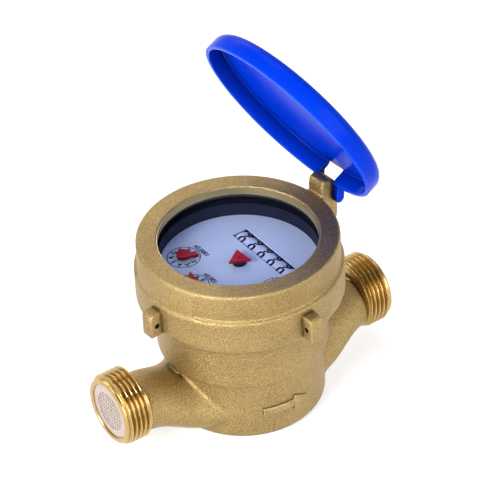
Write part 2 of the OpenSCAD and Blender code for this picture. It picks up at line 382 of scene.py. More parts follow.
def pointer_place(index: int) -> Point2:
    """Centre of a pointer on the dial, counted from 1."""
    a = math.radians(FIRST_POINTER + POINTER_STEP * (index - 1))
    return POINTER_PITCH * math.cos(a), POINTER_PITCH * math.sin(a)


def text_data(body: str, size: float, bold: float = 0.0) -> MeshData:
    """Makes flat letters centred on the origin.

    Args:
        body: The characters.
        size: Height of the type in millimetres.
        bold: Growth of the outlines.

    Returns:
        Points (x to the right, y up) and faces.
    """
    curve = bpy.data.curves.new("type", "FONT")
    curve.body = body
    curve.size = size
    curve.offset = bold
    curve.align_x = "CENTER"
    curve.align_y = "CENTER"
    curve.resolution_u = TYPE_RESOLUTION
    obj = linked("type", curve)
    mesh = evaluated_mesh(obj)
    verts = [(v.co.x, v.co.y, 0.0) for v in mesh.vertices]
    faces = [tuple(p.vertices) for p in mesh.polygons]
    bpy.data.objects.remove(obj)
    bpy.data.meshes.remove(mesh)
    bpy.data.curves.remove(curve)
    return verts, faces


def merge_data(parts: Iterable[MeshData]) -> MeshData:
    """Puts several sets of points and faces into one.

    Args:
        parts: Sets of points and faces.

    Returns:
        All points, and all faces with their point numbers moved along.
    """
    verts: list[Point3] = []
    faces: Faces = []
    for points, polygons in parts:
        base = len(verts)
        verts += points
        faces += [tuple(i + base for i in p) for p in polygons]
    return verts, faces


def add_node(
    tree: bpy.types.NodeTree, kind: str, links: dict[str, object] | None = None, **props: object
) -> bpy.types.Node:
    """Adds a node, sets its properties, and fills or links its inputs.

    Args:
        tree: The tree to add to.
        kind: The node's type.
        links: Input names or numbers, with a socket to link or a value to set.
        props: Properties of the node.

    Returns:
        The node.
    """
    node = tree.nodes.new(kind)
    for key, value in props.items():
        setattr(node, key, value)
    for key, value in (links or {}).items():
        socket = node.inputs[int(key)] if key.isdigit() else node.inputs[key]
        if isinstance(value, bpy.types.NodeSocket):
            tree.links.new(value, socket)
        else:
            socket.default_value = value
    return node


def calc(
    tree: bpy.types.NodeTree, operation: str, first: object, second: object, **props: object
) -> bpy.types.NodeSocket:
    """Adds a Math node.

    Args:
        tree: The tree to add to.
        operation: What the node does.
        first: Its first input, a socket or a value.
        second: Its second input.
        props: Other properties of the node.

    Returns:
        The node's output.
    """
    links = {"0": first, "1": second}
    return add_node(tree, "ShaderNodeMath", links, operation=operation, **props).outputs[0]


def stretch(
    tree: bpy.types.NodeTree, value: bpy.types.NodeSocket, source: Point2, target: Point2 = (0.0, 1.0)
) -> bpy.types.NodeSocket:
    """Adds a Map Range node.

    Args:
        tree: The tree to add to.
        value: The socket to read.
        source: Lowest and highest value read.
        target: Values given for these two.

    Returns:
        The node's output.
    """
    links = {"Value": value, "From Min": source[0], "From Max": source[1]}
    links |= {"To Min": target[0], "To Max": target[1]}
    return add_node(tree, "ShaderNodeMapRange", links).outputs[0]


def tinted(
    tree: bpy.types.NodeTree, share: bpy.types.NodeSocket, first: object, second: Sequence[float]
) -> bpy.types.NodeSocket:
    """Adds a node that mixes two colours.

    Args:
        tree: The tree to add to.
        share: Share of the second colour.
        first: The first colour, a socket or four values.
        second: The second colour, three values.

    Returns:
        The mixed colour.
    """
    links = {"0": share, "6": first, "7": (*second, 1.0)}
    return add_node(tree, "ShaderNodeMix", links, data_type="RGBA").outputs[2]


def shader_group(name: str, inputs: dict[str, float], outputs: Sequence[str]) -> bpy.types.NodeTree:
    """Makes an empty shader group with float sockets.

    Args:
        name: The group's name.
        inputs: Input names and their values.
        outputs: Output names.

    Returns:
        The group, with its input and output nodes.
    """
    tree = bpy.data.node_groups.new(name, "ShaderNodeTree")
    for key, value in inputs.items():
        socket = tree.interface.new_socket(name=key, in_out="INPUT", socket_type="NodeSocketFloat")
        socket.default_value = value
    for key in outputs:
        tree.interface.new_socket(name=key, in_out="OUTPUT", socket_type="NodeSocketFloat")
    tree.nodes.new("NodeGroupInput").name = "in"
    tree.nodes.new("NodeGroupOutput").name = "out"
    return tree


def grain_group() -> bpy.types.NodeTree:
    """Builds the group for fine pitted grain.

    Returns:
        The group: a height, a speckle mask and a slow patch mask.
    """
    inputs = {"Scale": 1500.0, "Patch Scale": 60.0}
    tree = shader_group("surface_grain", inputs, ["Height", "Speckle", "Patch"])
    src, out = tree.nodes["in"].outputs, tree.nodes["out"].inputs
    where = add_node(tree, "ShaderNodeTexCoord").outputs["Object"]
    close, wide = {"Vector": where, "Scale": src["Scale"]}, {"Vector": where, "Scale": src["Patch Scale"]}
    fine = add_node(tree, "ShaderNodeTexNoise", {**close, "Detail": 4.0, "Roughness": 0.65}).outputs["Fac"]
    cells = add_node(tree, "ShaderNodeTexVoronoi", close).outputs["Distance"]
    slow = add_node(tree, "ShaderNodeTexNoise", {**wide, "Detail": 3.0}).outputs["Fac"]
    tree.links.new(calc(tree, "ADD", fine, cells), out["Height"])
    tree.links.new(stretch(tree, fine, SPECKLE_RANGE), out["Speckle"])
    tree.links.new(stretch(tree, slow, PATCH_RANGE), out["Patch"])
    return tree


def wear_group() -> bpy.types.NodeTree:
    """Builds the group for lighter outer edges (wear on metal, a painted highlight on the lid) and painted
    shade in hollows.

    Returns:
        The group: one mask for each of the two.
    """
    inputs = {"Radius": 0.0008, "Gain": 5.0, "Reach": 0.003}
    tree = shader_group("edges_and_painted_shade", inputs, ["Mask", "Painted Shade"])
    src, out = tree.nodes["in"].outputs, tree.nodes["out"].inputs
    soft = add_node(tree, "ShaderNodeBevel", {"Radius": src["Radius"]}, samples=4).outputs[0]
    hard = add_node(tree, "ShaderNodeNewGeometry").outputs["True Normal"]
    dot = add_node(tree, "ShaderNodeVectorMath", {"0": soft, "1": hard}, operation="DOT_PRODUCT")
    bend = calc(tree, "SUBTRACT", 1.0, dot.outputs["Value"])
    edge = calc(tree, "MULTIPLY", bend, src["Gain"], use_clamp=True)
    sky = add_node(tree, "ShaderNodeAmbientOcclusion", {"Distance": src["Reach"]}, samples=8).outputs["AO"]
    # Lighter outer edges: wear on the metal finishes, a painted highlight on the lid.
    outer = calc(tree, "MULTIPLY", edge, stretch(tree, sky, OPEN_RANGE))
    tree.links.new(outer, out["Mask"])
    # Painted shade: the less open sky there is round a point, the darker its hollow is painted.
    tree.links.new(stretch(tree, sky, PAINTED_SHADE_RANGE, (1.0, 0.0)), out["Painted Shade"])
    return tree


@dataclass(frozen=True)
class Finish:
    """One surface finish: two tints over a grain, with lighter edges and painted shade in hollows where the
    edge colour is set.
    """

    name: str
    tint: Point3
    second: Point3
    roughness: Point2
    metallic: float = 0.0
    grain_scale: float = 900.0
    patch_scale: float = 60.0
    bump: float = 0.0
    bump_depth: float = 0.0001
    # Edge colour: wear on metal, a painted highlight on the lid.
    wear: Point3 | None = None
    wear_radius: float = 0.0008
    worn_gloss: float = 0.7
    # Darkness of the painted shade in hollows, as a share of the tint.
    hollow: float = 0.35
    hollow_reach: float = 0.003
    specular: float = 0.5
    speckle: float = 0.5
    subsurface: float = 0.0
    subsurface_reach: float = 0.002

    def build(self, grain: bpy.types.NodeTree, edge_shade_group: bpy.types.NodeTree) -> bpy.types.Material:
        """Makes the material.

        Args:
            grain: The shared grain group.
            edge_shade_group: The shared group for lighter edges and painted shade in hollows.

        Returns:
            The material.
        """
        mat = bpy.data.materials.new(self.name)
        mat.use_nodes = True
        tree = mat.node_tree
        shader = tree.nodes["Principled BSDF"].inputs
        shader["Metallic"].default_value = self.metallic
        shader["Specular IOR Level"].default_value = self.specular
        if self.subsurface:
            shader["Subsurface Weight"].default_value = self.subsurface
            shader["Subsurface Radius"].default_value = [self.subsurface_reach] * 3
        group = add_node(tree, "ShaderNodeGroup", node_tree=grain)
        group.inputs["Scale"].default_value = self.grain_scale
        group.inputs["Patch Scale"].default_value = self.patch_scale
        speck = group.outputs["Speckle"]
        links = {"0": self.speckle, "2": group.outputs["Patch"], "3": speck}
        mask = add_node(tree, "ShaderNodeMix", links).outputs[0]
        colour = tinted(tree, mask, (*self.tint, 1.0), self.second)
        rough = stretch(tree, speck, (0.0, 1.0), self.roughness)
        if self.wear:
            colour, rough = self.build_wear(tree, edge_shade_group, colour, rough)
        tree.links.new(colour, shader["Base Color"])
        tree.links.new(rough, shader["Roughness"])
        if self.bump:
            links = {"Strength": self.bump, "Distance": self.bump_depth, "Height": group.outputs["Height"]}
            tree.links.new(add_node(tree, "ShaderNodeBump", links).outputs[0], shader["Normal"])
        return mat

    def build_wear(
        self,
        tree: bpy.types.NodeTree,
        edge_shade_group: bpy.types.NodeTree,
        colour: bpy.types.NodeSocket,
        rough: bpy.types.NodeSocket,
    ) -> tuple[bpy.types.NodeSocket, bpy.types.NodeSocket]:
        """Darkens the hollows with painted shade, and makes the edges lighter and glossier: wear on metal, a
        painted highlight on the lid.

        Args:
            tree: The material's tree.
            edge_shade_group: The shared group for lighter edges and painted shade in hollows.
            colour: Colour so far.
            rough: Roughness so far.

        Returns:
            The new colour and roughness.
        """
        group = add_node(tree, "ShaderNodeGroup", node_tree=edge_shade_group)
        group.inputs["Radius"].default_value = self.wear_radius
        group.inputs["Reach"].default_value = self.hollow_reach
        edge = group.outputs["Mask"]
        # Painted shade in hollows: the colour darkens towards a share of the tint.
        colour = tinted(tree, group.outputs["Painted Shade"], colour, [self.hollow * c for c in self.tint])
        links = {"0": edge, "2": rough, "3": self.roughness[0] * self.worn_gloss}
        # Lighter edges: wear on metal, a painted highlight on the lid.
        return tinted(tree, edge, colour, self.wear), add_node(tree, "ShaderNodeMix", links).outputs[0]


FINISHES = (
    # Finishes with an edge colour also get painted shade in their hollows; on the machined brass it darkens
    # the thread roots.
    Finish("shot_blasted_brass", (0.25, 0.165, 0.055), (0.62, 0.455, 0.215), (0.40, 0.58), metallic=1.0,
           grain_scale=2000.0, patch_scale=45.0, bump=1.0, bump_depth=0.00018,
           wear=(0.80, 0.64, 0.36), wear_radius=0.0007, speckle=0.85),
    Finish("machined_brass", (0.44, 0.285, 0.09), (0.55, 0.38, 0.14), (0.24, 0.36), metallic=1.0,
           grain_scale=2600.0, patch_scale=120.0, bump=0.12, bump_depth=0.00004,
           wear=(0.90, 0.66, 0.32), wear_radius=0.0004, hollow=0.8, hollow_reach=0.0015),
    Finish("turned_lip_brass", (0.70, 0.52, 0.19), (0.80, 0.62, 0.26), (0.32, 0.44), metallic=1.0,
           grain_scale=2200.0, patch_scale=150.0, bump=0.15, bump_depth=0.00004),
    # The lid's lighter edge colour is a painted highlight along its rims, and its hollows get painted shade.
    Finish("blue_lid_plastic", (0.0, 0.026, 0.48), (0.0, 0.032, 0.54), (0.18, 0.26),
           grain_scale=700.0, patch_scale=40.0, bump=0.03, bump_depth=0.00005, specular=0.035,
           wear=(0.02, 0.19, 1.0), wear_radius=0.0009, hollow=0.08, hollow_reach=0.016),
    Finish("navy_register_plastic", (0.005, 0.006, 0.017), (0.008, 0.009, 0.024), (0.6, 0.75),
           patch_scale=50.0, bump=0.1, specular=0.2),
    Finish("dial_lacquer", (0.45, 0.51, 0.66), (0.49, 0.55, 0.70), (0.5, 0.6),
           grain_scale=1800.0, patch_scale=30.0, specular=0.15),
    Finish("dial_ink", (0.012, 0.012, 0.03), (0.02, 0.02, 0.045), (0.6, 0.7),
           grain_scale=1500.0, specular=0.05),
    Finish("red_hand_plastic", (0.29, 0.002, 0.014), (0.36, 0.003, 0.02), (0.36, 0.46),
           bump=0.05, specular=0.1),
    Finish("black_gasket_rubber", (0.008, 0.008, 0.008), (0.014, 0.014, 0.013), (0.6, 0.75),
           grain_scale=1500.0, bump=0.2),
    Finish("strainer_plastic", (0.34, 0.27, 0.23), (0.44, 0.36, 0.32), (0.3, 0.45),
           patch_scale=80.0, bump=0.1, subsurface=0.1),
    Finish("white_wheel_plastic", (0.50, 0.54, 0.72), (0.58, 0.62, 0.78), (0.4, 0.5), bump=0.05),
    Finish("ivory_gear_plastic", (0.74, 0.70, 0.56), (0.80, 0.76, 0.64), (0.35, 0.5), bump=0.08),
    Finish("grey_chamber_plastic", (0.30, 0.30, 0.29), (0.38, 0.38, 0.36), (0.4, 0.55), bump=0.15),
    Finish("drawn_steel", (0.56, 0.56, 0.55), (0.68, 0.68, 0.67), (0.2, 0.32), metallic=1.0,
           grain_scale=2200.0, patch_scale=90.0, bump=0.12, bump_depth=0.00004,
           wear=(0.85, 0.85, 0.84), wear_radius=0.0003),
    Finish("ferrite_magnet", (0.03, 0.03, 0.032), (0.06, 0.06, 0.062), (0.45, 0.6), metallic=0.3,
           grain_scale=1500.0, patch_scale=80.0, bump=0.25),
    Finish("bush_plastic", (0.35, 0.05, 0.035), (0.42, 0.07, 0.05), (0.35, 0.45), bump=0.08),
)

NODE_FINISH = {
    "body": "shot_blasted_brass", "cover_ring": "shot_blasted_brass", "lid": "blue_lid_plastic",
    "inlet_strainer": "strainer_plastic", "basket_strainer": "strainer_plastic",
    "impeller": "white_wheel_plastic", "top_bush": "bush_plastic",
    "chamber_cup": "grey_chamber_plastic", "chamber_cover": "grey_chamber_plastic",
    "impeller_magnet": "ferrite_magnet", "driven_magnet": "ferrite_magnet",
    "plate_gasket": "black_gasket_rubber", "glass_gasket": "black_gasket_rubber",
    "register_cup": "navy_register_plastic", "dial_plate": "dial_lacquer", "glass": "register_glass",
    "leak_indicator": "red_hand_plastic", "pressure_plate": "turned_lip_brass",
    "base_plate": "turned_lip_brass", "pillars": "turned_lip_brass",
}
NODE_PREFIX_FINISH = {
    "pointer_": "red_hand_plastic", "number_wheel_": "white_wheel_plastic",
    "gear_": "white_wheel_plastic", "arbor_": "ivory_gear_plastic",
}
OTHER_NODE_FINISH = "drawn_steel"


@dataclass(frozen=True)
class GlassFinish:
    """Clear glass that lets the studio light through to the dial, with almost no refraction."""

    name: str = "register_glass"
    tint: Point3 = (0.90, 0.94, 1.0)
    light_tint: Point3 = (0.93, 0.95, 1.0)
    roughness: float = 0.01
    refraction: float = 1.03

    def build(self) -> bpy.types.Material:
        """Makes the material.

        Returns:
            The material.
        """
        mat = bpy.data.materials.new(self.name)
        mat.use_nodes = True
        tree = mat.node_tree
        shader = tree.nodes["Principled BSDF"]
        shader.inputs["Base Color"].default_value = (*self.tint, 1.0)
        shader.inputs["Roughness"].default_value = self.roughness
        shader.inputs["IOR"].default_value = self.refraction
        shader.inputs["Transmission Weight"].default_value = 1.0
        clear = add_node(tree, "ShaderNodeBsdfTransparent", {"Color": (*self.light_tint, 1.0)})
        path = add_node(tree, "ShaderNodeLightPath").outputs
        either = calc(tree, "MAXIMUM", path["Is Shadow Ray"], path["Is Diffuse Ray"])
        links = {"0": either, "1": shader.outputs[0], "2": clear.outputs[0]}
        mix = add_node(tree, "ShaderNodeMixShader", links)
        tree.links.new(mix.outputs[0], tree.nodes["Material Output"].inputs["Surface"])
        return mat


@dataclass
class Palette:
    """All finishes of the meter, by name."""

    mats: dict[str, bpy.types.Material] = field(default_factory=dict)

    def build(self) -> None:
        """Builds the shared groups and every finish."""
        grain, edge_shade_group, glass = grain_group(), wear_group(), GlassFinish()
        for finish in FINISHES:
            self.mats[finish.name] = finish.build(grain, edge_shade_group)
        self.mats[glass.name] = glass.build()

    def dress_nodes(self, nodes: dict[str, bpy.types.Object]) -> None:
        """Gives every carried-over CAD node its finish.

        Args:
            nodes: The frame's CAD nodes, by name.
        """
        for name, obj in nodes.items():
            finish = NODE_FINISH.get(name, OTHER_NODE_FINISH)
            for prefix, value in NODE_PREFIX_FINISH.items():
                if name.startswith(prefix):
                    finish = value
            if not obj.material_slots:
                obj.data.materials.append(self.mats[finish])
            for slot in obj.material_slots:
                slot.material = self.mats[finish]

    def seat(self, obj: bpy.types.Object, finish: str, body: str, slot: Slot, replaced: str = "") -> None:
        """Dresses a finished piece and hands it to the frame.

        Args:
            obj: The piece.
            finish: Name of its finish.
            body: The body that it rides on.
            slot: Its material slot in the record; not used.
            replaced: The CAD node that it stands for, if there is one.
        """
        obj.data.materials.clear()
        obj.data.materials.append(self.mats[finish])
        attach(obj, body)
        if replaced:
            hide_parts(replaced)
        LOG.info("%s: %d faces of %s on %s", obj.name, len(obj.data.polygons), finish, body)


class RuleTree:
    """A geometry node tree with named inputs, run once on an empty mesh."""

    def __init__(self, name: str, inputs: dict[str, tuple[str, object]]) -> None:
        """Makes the tree.

        Args:
            name: The tree's name.
            inputs: Input names with socket type and value.
        """
        self.tree = bpy.data.node_groups.new(name, "GeometryNodeTree")
        self.values: dict[str, object] = {}
        for key, (kind, value) in inputs.items():
            socket = self.tree.interface.new_socket(name=key, in_out="INPUT", socket_type=kind)
            self.values[socket.identifier] = value
        self.tree.interface.new_socket(name="Geometry", in_out="OUTPUT", socket_type="NodeSocketGeometry")
        self.src = self.tree.nodes.new("NodeGroupInput").outputs
        self.out = self.tree.nodes.new("NodeGroupOutput").inputs

    def add(self, kind: str, links: dict[str, object] | None = None, **props: object) -> bpy.types.NodeSocket:
        """Adds a node to the tree and gives its first output."""
        return add_node(self.tree, kind, links, **props).outputs[0]

    def finish(self, instances: bpy.types.NodeSocket, place: bpy.types.NodeSocket) -> None:
        """Moves the instances and ends the tree in Realize Instances and Set Material.

        Args:
            instances: What the rule has made.
            place: Where its origin belongs.
        """
        there = self.add("GeometryNodeTransform", {"Geometry": instances, "Translation": place})
        real = self.add("GeometryNodeRealizeInstances", {"Geometry": there})
        dressed = self.add("GeometryNodeSetMaterial", {"Geometry": real, "Material": self.src["Material"]})
        self.tree.links.new(dressed, self.out["Geometry"])

    def run(self, name: str) -> bpy.types.Object:
        """Evaluates the tree.

        Args:
            name: Name of the piece.

        Returns:
            The result as a plain mesh object.
        """
        obj = linked(name, bpy.data.meshes.new(name))
        mod = obj.modifiers.new("rule", "NODES")
        mod.node_group = self.tree
        for identifier, value in self.values.items():
            mod[identifier] = value
        bake_modifiers(obj)
        return obj


def tick_ring(
    name: str, mat: bpy.types.Material, count: int, radius: float, size: Point3, centre: Point3
) -> bpy.types.Object:
    """Graduations round a sub-dial.

    Args:
        name: Name of the object.
        mat: The ink.
        count: Number of ticks.
        radius: Radius of their middles, in millimetres.
        size: Length, width and thickness of one tick.
        centre: Place of the circle's centre.

    Returns:
        The ticks as one mesh object.
    """
    rule = RuleTree(name + "_rule", {
        "Count": ("NodeSocketInt", count),
        "Radius": ("NodeSocketFloat", radius * MM),
        "Tick Size": ("NodeSocketVector", [v * MM for v in size]),
        "Centre": ("NodeSocketVector", [v * MM for v in centre]),
        "Material": ("NodeSocketMaterial", mat),
    })
    ring = rule.add("GeometryNodeMeshCircle", {"Vertices": rule.src["Count"], "Radius": rule.src["Radius"]})
    where = rule.add("GeometryNodeInputPosition")
    aim = rule.add("FunctionNodeAlignRotationToVector", {"Vector": where}, axis="X")
    tick = rule.add("GeometryNodeMeshCube", {"Size": rule.src["Tick Size"]})
    many = rule.add("GeometryNodeInstanceOnPoints", {"Points": ring, "Instance": tick, "Rotation": aim})
    rule.finish(many, rule.src["Centre"])
    return rule.run(name)


def wire_row(rule: RuleTree, along: str, across: str) -> bpy.types.NodeSocket:
    """One row of parallel gauze wires, each as long as the disc is there.

    Args:
        rule: The gauze's tree.
        along: Axis that the wires follow.
        across: Axis that they are spread over.

    Returns:
        The wires as instances.
    """
    radius, wire = rule.src["Radius"], rule.src["Wire"]
    reach = calc(rule.tree, "MULTIPLY", radius, rule.src["Spread"])
    start = rule.add("ShaderNodeCombineXYZ", {across: calc(rule.tree, "MULTIPLY", reach, -1.0)})
    end = rule.add("ShaderNodeCombineXYZ", {across: reach})
    ends = {"Count": rule.src["Count"], "Start Location": start, "Offset": end}
    line = rule.add("GeometryNodeMeshLine", ends, mode="END_POINTS")
    where = add_node(rule.tree, "ShaderNodeSeparateXYZ", {"Vector": rule.add("GeometryNodeInputPosition")})
    square = calc(rule.tree, "POWER", where.outputs[across], 2.0)
    left = calc(rule.tree, "SUBTRACT", calc(rule.tree, "POWER", radius, 2.0), square)
    span = calc(rule.tree, "MULTIPLY", calc(rule.tree, "POWER", left, 0.5), 2.0)
    scale = rule.add("ShaderNodeCombineXYZ", {"X": wire, across: wire, along: span})
    bar = rule.add("GeometryNodeMeshCube", {"Size": (1.0, 1.0, 1.0)})
    return rule.add("GeometryNodeInstanceOnPoints", {"Points": line, "Instance": bar, "Scale": scale})


@dataclass
class Casting:
    """The brass pot with its ducts, threaded ends and flow arrow."""

    pot_r: float = 36.0
    base_edge: float = 3.2
    step_z: float = 30.7
    step_groove: float = 0.5
    upper_r: float = 38.4
    upper_edge: float = 1.2
    upper_edge_z: float = 32.0
    shoulder: tuple[Point2, ...] = ((0.0, 49.0), (0.4, 51.2), (1.3, 53.0), (3.0, 54.8), (5.0, 55.9))
    seat_r: float = 44.8
    seat_z: float = 57.4
    seat_height: float = 0.8
    seat_edge: float = 0.4
    neck_r: float = 41.6
    neck_bore_r: float = 38.6
    neck_z: float = 72.0
    well_r: float = 34.5
    well_z: float = 57.0
    well_floor: float = 50.0
    pot_segments: int = 192
    voxel: float = 0.74
    smoothing: int = 4

    duct_start: float = 59.9
    duct_end: float = 22.0
    duct_straight: float = 4.0
    duct_r: float = 12.4
    duct_side: float = 14.2
    duct_drop: float = 2.3
    flare_length: float = 21.0
    flare_side: float = 21.0
    flare_power: float = 1.3
    flare_rise: float = 1.0
    flare_drop: float = 5.5
    duct_stations: int = 22
    duct_segments: int = 96
    bore_r: float = 10.0
    bore_taper: float = 1.0

    thread_r: float = 16.625
    pitch: float = 2.309
    depth: float = 1.479
    crests: int = 5
    land: float = 1.4
    run_out: float = 0.8
    run_out_drop: float = 1.4
    run_out_gap: float = 0.1
    run_in_fade: float = 0.9
    run_out_fade: float = 0.7
    root_share: float = 0.12
    flank_share: float = 0.72
    collar: Point2 = (1.0, 0.35)
    collar_rise: float = 0.15
    face_edge: float = 0.5
    mouth_edge: float = 0.4
    mouth_depth: float = 2.2
    outlet_mouth_r: float = 10.6
    inlet_mouth_r: float = 12.7
    thread_segments: int = 128
    steps_per_crest: int = 10

    arrow_drop: float = 9.0
    arrow_tail: float = 15.0
    arrow_head: float = 8.0
    arrow_neck_x: float = 1.0
    arrow_half: float = 1.8
    head_half: float = 4.0
    arrow_relief: float = 0.7
    arrow_root: float = 1.0
    arrow_edge: float = 0.35

    def pot_profile(self) -> list[Point2]:
        """Works out the pot's section.

        Returns:
            Its outline, from the axis out over the base, up the wall and back in over the neck.
        """
        low, up, edge, groove = self.pot_r, self.upper_r, self.base_edge, self.step_groove
        seat_low = self.seat_z - self.seat_height
        wall = [(0.0, 0.0)] + arc(low - edge, edge, edge, -90, 0, 8)
        wall += [(low, self.step_z - groove), (low + groove, self.step_z)]
        wall += arc(up - self.upper_edge, self.upper_edge_z, self.upper_edge, -80, 0, 4)
        wall += [(up + growth, z) for growth, z in self.shoulder]
        seat = [(self.seat_r - self.seat_edge, seat_low - self.seat_edge), (self.seat_r, seat_low)]
        seat += [(self.seat_r, self.seat_z), (self.neck_r, self.seat_z)]
        neck = [(self.neck_r, self.neck_z), (self.neck_bore_r, self.neck_z), (self.neck_bore_r, self.well_z)]
        well = [(self.well_r, self.well_z), (self.well_r, self.well_floor), (0.0, self.well_floor)]
        return wall + seat + neck + well

    def build_duct(self, side: int) -> bpy.types.Object:
        """One duct: round at the thread, lower and broader where it meets the pot.

        Args:
            side: 1 for the outlet, -1 for the inlet.

        Returns:
            The closed duct with its water way.
        """
        turns = [math.tau * k / self.duct_segments for k in range(self.duct_segments)]
        verts: list[Point3] = []
        for i in range(self.duct_stations + 1):
            way = i / self.duct_stations
            x = self.duct_start - (self.duct_start - self.duct_end) * way
            t = min(1.0, max(0.0, (self.duct_start - self.duct_straight - x) / self.flare_length))
            share = t * t * (3 - 2 * t)
            tall = self.duct_r + self.flare_rise * share
            middle = AXIS_HEIGHT - self.duct_drop - self.flare_drop * share
            spread = self.flare_side * way ** self.flare_power
            for a in turns:
                wide = self.duct_side + spread * (0.5 - 0.5 * math.sin(a))
                verts.append((side * x, side * wide * math.cos(a), middle + tall * math.sin(a)))
        inner_end = (self.duct_end, self.duct_drop + self.flare_drop, self.bore_r - self.bore_taper)
        outer_end = (self.duct_start, 0.0, self.bore_r)
        for x, drop, r in (inner_end, outer_end):
            middle = AXIS_HEIGHT - drop
            verts += [(side * x, side * r * math.cos(a), middle + r * math.sin(a)) for a in turns]
        rows = len(verts) // self.duct_segments
        return new_object("duct", verts, grid_faces(rows, self.duct_segments))

    def build_pot(self) -> bpy.types.Object:
        """Joins pot and ducts and softens them as one casting.

        Returns:
            The pot.
        """
        parts = [new_object("pot", *lathe(self.pot_profile(), self.pot_segments))]
        parts += [self.build_duct(side) for side in (1, -1)]
        pot = join_meshes("pot_casting", parts)
        weld_casting(pot, self.voxel, self.smoothing)
        return pot

    def ridge(self, along: float, turn: float) -> float:
        """Works out the thread's height over its root.

        Args:
            along: Distance from the start of the thread.
            turn: Share of a full turn about the pipe axis.

        Returns:
            The height, which fades at both ends.
        """
        left = self.crests * self.pitch - along
        fade = max(0.0, min(1.0, along / self.run_in_fade, left / self.run_out_fade))
        phase = (along / self.pitch - turn) % 1.0
        rise = 1.0 - abs(2.0 * phase - 1.0)
        return self.depth * fade * min(1.0, max(0.0, (rise - self.root_share) / self.flank_share))

    def build_thread(self, side: int, mouth_r: float) -> bpy.types.Object:
        """One threaded end with a real helix.

        Args:
            side: 1 for the outlet, -1 for the inlet.
            mouth_r: Radius of the mouth's counterbore.

        Returns:
            The end as one mesh object.
        """
        face, floor = HALF_LENGTH, HALF_LENGTH - self.mouth_depth
        start = face - self.land - self.crests * self.pitch
        back = start - self.run_out
        root = self.thread_r - self.depth
        lead = [(back, root - self.run_out_drop), (start - self.run_out_gap, root)]
        rim = [(face - self.collar[0], root + self.collar_rise), (face - self.collar[1], root)]
        rim += [(face, root - self.face_edge)]
        mouth = [(face, mouth_r + self.mouth_edge), (face - self.mouth_edge, mouth_r), (floor, mouth_r)]
        bore = [(floor, self.bore_r), (back, self.bore_r)]
        helix = [self.pitch * j / self.steps_per_crest for j in range(self.crests * self.steps_per_crest + 1)]
        verts: list[Point3] = []
        for i in range(self.thread_segments):
            turn = i / self.thread_segments
            c, s = math.cos(math.tau * turn), math.sin(math.tau * turn)
            crests = [(start + along, root + self.ridge(along, turn)) for along in helix]
            verts += [(r * c, r * s, x) for x, r in lead + crests + rim + mouth + bore]
        faces = grid_faces(self.thread_segments, len(verts) // self.thread_segments)
        name = "outlet_thread_end" if side > 0 else "inlet_thread_end"
        end = new_object(name, along_pipe(verts, side), faces)
        smooth_by_angle(end, TURNED_ANGLE)
        return end

    def build_arrow(self) -> bpy.types.Object:
        """Flow arrow in low relief on the pot's front.

        Returns:
            The arrow.
        """
        neck, tip = self.arrow_neck_x, self.arrow_neck_x + self.arrow_head
        tail = [(neck - self.arrow_tail * (3 - i) / 3, -self.arrow_half) for i in range(4)]
        head = [(neck, -self.head_half), ((neck + tip) / 2, -self.head_half / 2)]
        lower = tail + head
        outline = lower + [(tip, 0.0)] + [(x, -y) for x, y in reversed(lower)]

        def place(x: float, y: float, level: float) -> Point3:
            """Wraps the arrow on the pot."""
            a = math.radians(-90) + x / self.pot_r
            return level * math.cos(a), level * math.sin(a), AXIS_HEIGHT - self.arrow_drop + y

        low, high = self.pot_r - self.arrow_root, self.pot_r + self.arrow_relief
        arrow = new_object("flow_arrow", *slab(outline, low, high, place))
        round_edges(arrow, self.arrow_edge, 2)
        smooth_by_angle(arrow, CAST_ANGLE)
        return arrow

    def build(self, palette: Palette) -> None:
        """Builds, dresses and places the casting's pieces.

        Args:
            palette: The finishes.
        """
        palette.seat(self.build_pot(), "shot_blasted_brass", "meter", Slot.CAST_BRASS, "body")
        for side, mouth_r in ((1, self.outlet_mouth_r), (-1, self.inlet_mouth_r)):
            palette.seat(self.build_thread(side, mouth_r), "machined_brass", "meter", Slot.CAST_BRASS)
        palette.seat(self.build_arrow(), "shot_blasted_brass", "meter", Slot.CAST_BRASS)


